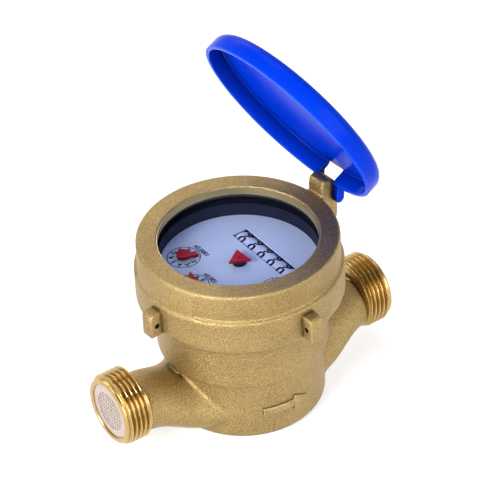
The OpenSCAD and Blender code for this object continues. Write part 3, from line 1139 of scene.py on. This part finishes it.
@dataclass
class CoverRing:
    """The screwed brass ring with its pad, hinge lug, seal ears and machined lip."""

    low_z: float = 57.9
    low_r: float = 46.15
    low_edge: float = 0.7
    band_r: float = 44.55
    band_edge: float = 1.0
    ledge_z: float = 73.1
    ledge_fillet: Point2 = (0.1, 1.0)
    top_z: float = 86.3
    window_r: float = 35.2
    window_edge: Point2 = (0.3, 0.6)
    bore_r: float = 41.65
    lip_z: float = 82.1
    lip_wall: float = 0.7
    lip_cover: float = 0.2
    lip_drop: float = 0.9
    lip_angle: float = 30.0
    segments: int = 256
    voxel: float = 0.62
    smoothing: int = 3

    pad_middle: float = 180.0
    pad_half: float = 25.0
    pad_steps: int = 24
    pad_root: float = 2.0
    pad_low: float = 2.0
    pad_high: float = 1.6
    pad_inset: float = 0.3
    pad_relief: float = 0.1

    lug_root_x: float = 42.6
    lug_foot_x: float = 46.0
    lug_foot: float = 8.0
    lug_rise: float = 7.6
    lug_half: float = 4.6

    ear: Point3 = (9.7, 6.4, 12.0)
    ear_root: float = 4.0
    ear_back: float = 1.0
    ear_slope: float = 0.2
    ear_nose: Point2 = (1.4, 1.6)
    ear_edge: float = 0.7
    ear_angles: Point3 = (90.0, 180.0, 270.0)
    hole_r: float = 1.4
    hole_out: float = 2.4
    hole_up: float = 5.6
    hole_reach: float = 9.0

    def profile(self) -> list[Point2]:
        """Works out the ring's section.

        Returns:
            Its closed outline, from the lower bore over the outside to the window.
        """
        low, band, ledge, top, edge = self.low_r, self.band_r, self.ledge_z, self.top_z, self.band_edge
        window, (chamfer, chamfer_drop) = self.window_r + self.lip_cover, self.window_edge
        fillet, fillet_rise = self.ledge_fillet
        lower = [(self.bore_r, self.low_z)]
        lower += arc(low - self.low_edge, self.low_z + self.low_edge, self.low_edge, -90, 0, 3)
        lower += arc(low - edge, ledge - edge, edge, 0, 80, 4)
        upper = [(band + fillet, ledge + fillet), (band, ledge + fillet_rise)]
        upper += arc(band - edge, top - edge, edge, 0, 90, 5)
        inside = [(window + chamfer, top), (window, top - chamfer_drop)]
        inside += [(window, self.lip_z), (self.bore_r, self.lip_z)]
        return lower + upper + inside

    def lug_outline(self) -> list[Point2]:
        """Works out the hinge lug's side view.

        Returns:
            Its outline, up the outer side and down the inner one.
        """
        ledge, top, band, root = self.ledge_z, self.top_z, self.band_r, self.lug_root_x
        foot, crown, inner = ledge - self.lug_foot, top + self.lug_rise, band - 0.2
        outside = [(root, foot), (self.lug_foot_x, foot), (HINGE_X + 1.4, ledge - 1.0)]
        over = [(HINGE_X + 2.0, HINGE_Z), (HINGE_X + 1.6, top + 2.6), (HINGE_X - 0.2, top + 6.4)]
        inside = [(HINGE_X - 2.6, crown), (band + 2.0, crown), (band + 0.5, top + 7.0), (inner, top + 4.2)]
        return outside + over + inside + [(inner, top - 0.6), (root, top - 0.6)]

    def pad_data(self) -> MeshData:
        """Sloping pad opposite the hinge, from the ledge up to the band.

        Returns:
            Points and faces.
        """
        first = self.pad_middle - self.pad_half
        step = 2 * self.pad_half / self.pad_steps
        angles = [math.radians(first + step * i) for i in range(self.pad_steps + 1)]
        outline = [(a, 1.0) for a in angles] + [(a, 0.0) for a in reversed(angles)]
        low, high = self.ledge_z - self.pad_low, self.top_z - self.pad_high

        def place(angle: float, outside: float, level: float) -> Point3:
            """Places a point of the pad.

            Args:
                angle: Its angle round the ring.
                outside: 1 on the outer face, 0 on the inner one.
                level: Its height.

            Returns:
                The point.
            """
            outer = self.low_r - self.pad_inset if level == low else self.band_r + self.pad_relief
            radius = outer if outside else self.band_r - self.pad_root
            return radius * math.cos(angle), radius * math.sin(angle), level

        return slab(outline, low, high, place)

    def build_ring(self) -> bpy.types.Object:
        """Joins ring, pad and lug, and softens them as one casting.

        Returns:
            The ring.
        """
        lug = slab(self.lug_outline(), -self.lug_half, self.lug_half, upright)
        shapes = {"ring": lathe(self.profile(), self.segments), "pad": self.pad_data(), "lug": lug}
        parts = [new_object(name, turn_cover(verts), faces) for name, (verts, faces) in shapes.items()]
        ring = join_meshes("ring_casting", parts)
        weld_casting(ring, self.voxel, self.smoothing)
        return ring

    def build_ear(self, angle: float) -> bpy.types.Object:
        """One seal ear with its wire hole.

        Args:
            angle: Its place round the ring, in degrees from the hinge.

        Returns:
            The ear.
        """
        depth, width, height = self.ear
        root, foot, top = self.low_r - self.ear_root, self.low_z, self.low_z + height
        tip, (nose, nose_drop) = root + depth, self.ear_nose
        outline = [(root, foot), (tip, foot), (tip, top - nose_drop), (tip - nose, top - self.ear_slope)]
        outline += [(self.low_r - self.ear_back, top), (root, top)]
        ear = new_object("ear", *slab(outline, -width / 2, width / 2, upright))
        round_edges(ear, self.ear_edge, 3)
        verts, faces = lathe(tube(0.0, self.hole_r, -self.hole_reach, self.hole_reach), SMALL_SEGMENTS)
        lying = [upright(*point) for point in verts]
        bore = moved(lying, self.low_r + self.hole_out, 0.0, foot + self.hole_up)
        cut_out(ear, new_object("hole", bore, faces))
        ear.data.transform(Matrix.Rotation(math.radians(angle) + COVER_TURN, 4, "Z"))
        return ear

    def build(self, palette: Palette) -> None:
        """Builds, dresses and places the ring's pieces.

        Args:
            palette: The finishes.
        """
        palette.seat(self.build_ring(), "shot_blasted_brass", "meter", Slot.CAST_BRASS, "cover_ring")
        ears = join_meshes("seal_ears", [self.build_ear(angle) for angle in self.ear_angles])
        smooth_by_angle(ears, TURNED_ANGLE)
        palette.seat(ears, "shot_blasted_brass", "meter", Slot.CAST_BRASS)
        outer, high = self.window_r + self.lip_wall, self.top_z - self.lip_drop
        lip = new_object("machined_lip", *lathe(tube(self.window_r, outer, self.lip_z, high), self.segments))
        smooth_by_angle(lip, self.lip_angle)
        palette.seat(lip, "turned_lip_brass", "meter", Slot.CAST_BRASS)


@dataclass
class Lid:
    """The blue lid, in its rest pose."""

    radius: float = 46.6
    depth: float = 10.6
    wall: float = 2.0
    rim_edge: float = 0.35
    crown: tuple[Point2, ...] = ((30.0, 0.35), (18.0, 0.08), (0.0, 0.0))
    crown_wall: float = 1.6
    crown_edge: float = 4.4
    crown_edge_drop: float = 5.2
    inner_edge: float = 0.8
    inner_edge_drop: float = 3.6
    segments: int = 256
    smooth_angle: float = 32.0

    slot_half: float = 5.0
    slot_x: Point2 = (43.0, 62.0)
    slot_low: float = 6.0
    slot_high: float = 8.2
    knuckle_r: float = 2.3
    knuckle_root_x: float = 45.4
    knuckle_root_z: Point2 = (0.2, 5.0)
    knuckle_y: Point2 = (5.1, 8.5)
    knuckle_edge: float = 0.3

    def profile(self) -> list[Point2]:
        """Works out the shell's section, with the rim at height 0.

        Returns:
            Its outline, from the outer rim over the crown and back inside.
        """
        r, d, rim = self.radius, self.depth, self.rim_edge
        inner_r, under = r - self.wall, d - self.crown_wall
        outer = arc(r - rim, rim, rim, -90, 0, 3)
        outer += arc(r - self.crown_edge, d - self.crown_edge_drop, self.crown_edge, 0, 78, 10)
        outer += [(x, d - fall) for x, fall in self.crown]
        inner = [(x, under - fall) for x, fall in reversed(self.crown)]
        inner += arc(inner_r - self.inner_edge, d - self.inner_edge_drop, self.inner_edge, 80, 0, 5)
        return outer + inner + arc(inner_r + rim, rim, rim, 180, 270, 3)

    def build_shell(self) -> bpy.types.Object:
        """Turns the shut shell and cuts its hinge slot.

        Returns:
            The shell.
        """
        verts, faces = lathe(self.profile(), self.segments)
        shell = new_object("lid_shell", moved(verts, 0.0, 0.0, RIM_Z), faces)
        (near, far), half = self.slot_x, self.slot_half
        box = [(near, -half), (far, -half), (far, half), (near, half)]
        cut_out(shell, new_object("slot", *slab(box, RIM_Z - self.slot_low, RIM_Z + self.slot_high, flat)))
        return shell

    def build_knuckle(self, side: int) -> bpy.types.Object:
        """One knuckle of the shut lid.

        Args:
            side: 1 or -1, for the two sides of the slot.

        Returns:
            The knuckle.
        """
        low, high = ((self.knuckle_root_x, RIM_Z + z) for z in self.knuckle_root_z)
        outline = [low] + arc(HINGE_X, HINGE_Z, self.knuckle_r, -110, 55, 14) + [high]
        near, far = self.knuckle_y
        knuckle = new_object("knuckle", *slab(outline, side * near, side * far, upright))
        round_edges(knuckle, self.knuckle_edge, 2)
        return knuckle

    def build(self, palette: Palette) -> None:
        """Builds the lid, swings it open, dresses and places it.

        Args:
            palette: The finishes.
        """
        parts = [self.build_shell()] + [self.build_knuckle(side) for side in (-1, 1)]
        lid = join_meshes("lid_shell", parts)
        shut = [(v.co.x / MM, v.co.y / MM, v.co.z / MM) for v in lid.data.vertices]
        for vertex, point in zip(lid.data.vertices, open_lid(shut)):
            vertex.co = Vector(point) * MM
        smooth_by_angle(lid, self.smooth_angle)
        palette.seat(lid, "blue_lid_plastic", "lid", Slot.BLUE_PLASTIC, "lid")


@dataclass
class Register:
    """Printed dial, number wheels and hands under the glass."""

    ring_r: float = 7.2
    ring_line: float = 0.36
    ring_segments: int = 96
    print_half: float = 0.02
    print_lift: float = 0.03
    tick_inset: float = 0.55
    tick: Point3 = (1.3, 0.34, 0.04)
    digit_r: float = 5.4
    digit_size: float = 3.2
    label_size: float = 3.1
    label_rise: float = 8.9
    label_shift: float = 1.0
    type_bold: float = 0.12
    multipliers: tuple[str, ...] = ("x0.0001", "x0.001", "x0.01", "x0.1")
    unit_size: float = 4.0
    unit_y: float = -22.6

    wheels: int = 5
    drum_r: float = 7.0
    drum_x: float = 13.3
    drum_z: float = 62.7
    drum_pitch: float = 7.2
    drum_lift: float = 0.02
    drum_digit_size: float = 5.8
    drum_digit_bold: float = 0.18
    drum_digit_width: float = 1.4

    hub_r: Point2 = (0.9, 3.1)
    hub_foot: float = 0.1
    hub_top: float = 72.6
    hub_segments: int = 64
    leak_cap_z: float = 73.5
    hand_cap_rise: float = 1.85
    cap_skirt: float = 0.1
    cap_flat_r: float = 0.4
    cap_edge: float = 0.5

    def on_dial(self, data: MeshData, x: float, y: float) -> MeshData:
        """Lays flat type on the dial, its top towards +X."""
        z = DIAL_Z + self.print_lift
        return [(x + v, y - u, z) for u, v, _ in data[0]], data[1]

    def on_drum(self, data: MeshData, turn: float, middle: float) -> MeshData:
        """Wraps flat type round a number wheel.

        Args:
            data: The type.
            turn: Angle of its middle from the wheel's top, in radians.
            middle: Place of the wheel's middle along the shaft.

        Returns:
            The type on the wheel.
        """
        r = self.drum_r + self.drum_lift
        points: list[Point3] = []
        for u, v, _ in data[0]:
            a = turn + v / self.drum_r
            y = middle - u * self.drum_digit_width
            points.append((self.drum_x + r * math.sin(a), y, self.drum_z + r * math.cos(a)))
        return points, data[1]

    def build_print(self, palette: Palette) -> None:
        """Prints sub-dial rings, graduations, numbers, multipliers and the unit.

        Args:
            palette: The finishes.
        """
        z = DIAL_Z + self.print_lift
        tick_r = self.ring_r - self.tick_inset
        outer = self.ring_r + self.ring_line
        section = tube(self.ring_r, outer, -self.print_half, self.print_half)
        line, line_faces = lathe(section, self.ring_segments)
        glyphs = [text_data(str(digit), self.digit_size, self.type_bold) for digit in range(DIGITS)]
        parts: list[bpy.types.Object] = []
        letters: list[MeshData] = []
        for index, label in enumerate(self.multipliers, 1):
            x, y = pointer_place(index)
            name = f"subdial_ticks_{index}"
            parts.append(tick_ring(name, palette.mats["dial_ink"], DIGITS, tick_r, self.tick, (x, y, z)))
            parts.append(new_object("ring_line", moved(line, x, y, z), line_faces))
            for digit, glyph in enumerate(glyphs):
                a = math.radians(-DIGIT_STEP * digit)
                across, along = self.digit_r * math.cos(a), self.digit_r * math.sin(a)
                letters.append(self.on_dial(glyph, x + across, y + along))
            words = text_data(label, self.label_size, self.type_bold)
            letters.append(self.on_dial(words, x + self.label_rise, y - self.label_shift))
        letters.append(self.on_dial(text_data("m³", self.unit_size), self.drum_x, self.unit_y))
        parts.append(new_object("dial_type", *merge_data(letters)))
        palette.seat(join_meshes("dial_print", parts), "dial_ink", "meter", Slot.DIAL)

    def build_digits(self, palette: Palette) -> None:
        """Puts numbers round each number wheel, half way from nine to nought.

        Args:
            palette: The finishes.
        """
        size, bold = self.drum_digit_size, self.drum_digit_bold
        glyphs = [text_data(str(digit), size, bold) for digit in range(DIGITS)]
        turns = [math.radians(-DIGIT_STEP * (digit + 0.5)) for digit in range(DIGITS)]
        for wheel in range(1, self.wheels + 1):
            middle = (wheel - (self.wheels + 1) / 2) * self.drum_pitch
            numbers = [self.on_drum(glyph, turn, middle) for glyph, turn in zip(glyphs, turns)]
            piece = new_object(f"wheel_numbers_{wheel}", *merge_data(numbers))
            palette.seat(piece, "dial_ink", f"number_{wheel}", Slot.WHITE_PLASTIC)

    def build_caps(self, palette: Palette) -> None:
        """Adds a hub under the leak triangle, and red caps over the ends of the arbors.

        Args:
            palette: The finishes.
        """
        section = tube(*self.hub_r, DIAL_Z + self.hub_foot, self.hub_top)
        hub = new_object("leak_hub", *lathe(section, self.hub_segments))
        palette.seat(hub, "navy_register_plastic", "spindle", Slot.NAVY_PLASTIC)
        hand_z = DIAL_Z + self.hand_cap_rise
        seats = [("leak_cap", "spindle", (0.0, 0.0), self.leak_cap_z)]
        seats += [(f"hand_cap_{i}", f"hand_{i}", pointer_place(i), hand_z) for i in range(1, 5)]
        edge = arc(self.cap_flat_r, self.cap_skirt, self.cap_edge, -10, 90, 5)
        top = (0.0, self.cap_skirt + self.cap_edge)
        verts, faces = lathe([(0.0, 0.0)] + edge + [top], SMALL_SEGMENTS)
        for name, body, (x, y), z in seats:
            cap = new_object(name, moved(verts, x, y, z), faces)
            smooth_by_angle(cap, TURNED_ANGLE)
            palette.seat(cap, "red_hand_plastic", body, Slot.RED_PLASTIC)

    def build(self, palette: Palette) -> None:
        """Builds the print, the numbers and the caps.

        Args:
            palette: The finishes.
        """
        self.build_print(palette)
        self.build_digits(palette)
        self.build_caps(palette)


@dataclass
class InletStrainer:
    """Woven gauze across the inlet mouth: two crossed rows of wires, cut to a disc."""

    radius: float = 9.3
    spread: float = 0.96
    wires: int = 17
    wire: float = 0.52
    face_x: float = -70.9

    def build(self, palette: Palette) -> None:
        """Builds, dresses and places the gauze.

        Args:
            palette: The finishes.
        """
        rule = RuleTree("strainer_gauze_rule", {
            "Radius": ("NodeSocketFloat", self.radius * MM),
            "Spread": ("NodeSocketFloat", self.spread),
            "Count": ("NodeSocketInt", self.wires),
            "Wire": ("NodeSocketFloat", self.wire * MM),
            "Face": ("NodeSocketVector", (self.face_x * MM, 0.0, AXIS_HEIGHT * MM)),
            "Material": ("NodeSocketMaterial", palette.mats["strainer_plastic"]),
        })
        both = add_node(rule.tree, "GeometryNodeJoinGeometry")
        for along, across in (("Z", "Y"), ("Y", "Z")):
            rule.tree.links.new(wire_row(rule, along, across), both.inputs[0])
        rule.finish(both.outputs[0], rule.src["Face"])
        palette.seat(rule.run("strainer_gauze"), "strainer_plastic", "meter", Slot.WHITE_PLASTIC)


@dataclass(frozen=True)
class Panel:
    """One soft square light, its place and size in metres and its power in watts."""

    name: str
    place: Point3
    size: float
    power: float

    def build(self, aim: Point3) -> None:
        """Adds the panel to the scene.

        Args:
            aim: The point that it faces.
        """
        data = bpy.data.lights.new(self.name, "AREA")
        data.energy = self.power
        data.size = self.size
        obj = linked(self.name, data)
        obj.location = self.place
        obj.rotation_euler = (Vector(aim) - Vector(self.place)).to_track_quat("-Z", "Y").to_euler()


@dataclass
class Studio:
    """Camera, pale floor and soft light."""

    azimuth: float = -33.5631
    elevation: float = 36.9295
    distance: float = 1104.4766
    focal_px: float = 2550.5001
    roll: float = -3.115
    target_z: float = 86.603
    offset_px: Point2 = (-2.3273, -6.2811)
    frame_px: float = 480.0
    sensor: float = 36.0
    clip_m: float = 20.0

    aim_m: Point3 = (0.0, 0.0, 0.07)
    panels: tuple[Panel, ...] = (
        Panel("key_panel", (-0.85, -0.25, 0.55), 0.45, 12.0),
        Panel("front_panel", (0.25, -0.9, 0.45), 0.6, 4.0),
        Panel("top_panel", (0.1, 0.25, 1.1), 0.6, 3.0),
        Panel("back_panel", (0.25, 0.9, 0.75), 0.6, 3.0),
    )
    sky_height: Point2 = (0.05, 0.9)
    sky_strength: Point2 = (0.9, 0.25)
    floor_half: float = 3000.0
    floor_z: float = -0.2
    floor_grey: float = 0.45
    floor_glow: float = 0.68
    floor_roughness: float = 0.9

    def build_camera(self) -> None:
        """Places the camera as fitted to the photograph."""
        a, e, r = (math.radians(v) for v in (self.azimuth, self.elevation, self.roll))
        back = Vector((math.sin(a) * math.cos(e), -math.cos(a) * math.cos(e), math.sin(e)))
        level = Vector((math.cos(a), math.sin(a), 0))
        steep = back.cross(level)
        right = math.cos(r) * level + math.sin(r) * steep
        up = -math.sin(r) * level + math.cos(r) * steep
        data = bpy.data.cameras.new("photo_camera")
        data.sensor_width = self.sensor
        data.lens = self.focal_px / self.frame_px * self.sensor
        data.shift_x = -self.offset_px[0] / self.frame_px
        data.shift_y = self.offset_px[1] / self.frame_px
        data.clip_end = self.clip_m
        cam = linked("photo_camera", data)
        place = Vector((0, 0, self.target_z)) * MM + back * self.distance * MM
        cam.matrix_world = Matrix.Translation(place) @ Matrix((right, up, back)).transposed().to_4x4()
        bpy.context.scene.camera = cam

    def build_sky(self) -> None:
        """Makes a white world that is stronger near the horizon than overhead."""
        world = bpy.data.worlds.new("studio")
        world.use_nodes = True
        tree = world.node_tree
        where = add_node(tree, "ShaderNodeTexCoord").outputs["Generated"]
        height = add_node(tree, "ShaderNodeSeparateXYZ", {"Vector": where}).outputs["Z"]
        background = tree.nodes["Background"].inputs
        background["Color"].default_value = (1.0, 1.0, 1.0, 1.0)
        tree.links.new(stretch(tree, height, self.sky_height, self.sky_strength), background["Strength"])
        bpy.context.scene.world = world
        bpy.context.scene.view_settings.view_transform = "Standard"

    def build_floor(self) -> None:
        """Lays a pale floor that glows a little, so that it comes out white."""
        half = self.floor_half
        corners = [(-half, -half), (half, -half), (half, half), (-half, half)]
        floor = new_object("floor", [(x, y, self.floor_z) for x, y in corners], [(0, 1, 2, 3)])
        mat = bpy.data.materials.new("pale_floor")
        mat.use_nodes = True
        shader = mat.node_tree.nodes["Principled BSDF"].inputs
        shader["Base Color"].default_value = (self.floor_grey, self.floor_grey, self.floor_grey, 1.0)
        shader["Emission Color"].default_value = (1.0, 1.0, 1.0, 1.0)
        shader["Emission Strength"].default_value = self.floor_glow
        shader["Roughness"].default_value = self.floor_roughness
        floor.data.materials.append(mat)

    def build(self) -> None:
        """Builds the camera, the sky, the lights and the floor."""
        self.build_camera()
        self.build_sky()
        for panel in self.panels:
            panel.build(self.aim_m)
        self.build_floor()


def main() -> None:
    """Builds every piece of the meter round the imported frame."""
    logging.basicConfig(level=logging.INFO)
    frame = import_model()
    palette = Palette()
    palette.build()
    palette.dress_nodes(frame["nodes"])
    Studio().build()
    for part in (Casting(), CoverRing(), Lid(), Register(), InletStrainer()):
        part.build(palette)


if __name__ == "__main__":
    main()
